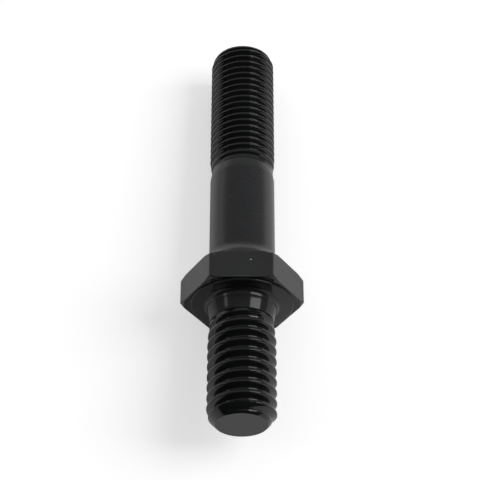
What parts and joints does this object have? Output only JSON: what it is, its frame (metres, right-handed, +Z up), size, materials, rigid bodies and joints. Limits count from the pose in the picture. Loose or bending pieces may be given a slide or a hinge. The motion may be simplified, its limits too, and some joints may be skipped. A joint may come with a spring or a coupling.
{
  "type": "double ended stud",
  "caption": "Double ended stud with a hexagonal shoulder: a coarse thread screws into a casting, and a plain shank carries a pivoting arm that a nut on the fine thread holds.",
  "frame": {"origin": "on the stud's axis, in the plane of the seat under the hexagon", "axes": "+Z up with the stud lying at rest; the fine end points along +Y, dipping about 4 degrees; one flat of the hexagon faces up"},
  "size_m": [0.0198, 0.0715, 0.0176],
  "materials": {
    "black_oxide_steel": "satin"
  },
  "bodies": {
    "root": {"rocker_stud": "black_oxide_steel"}
  },
  "joints": []
}
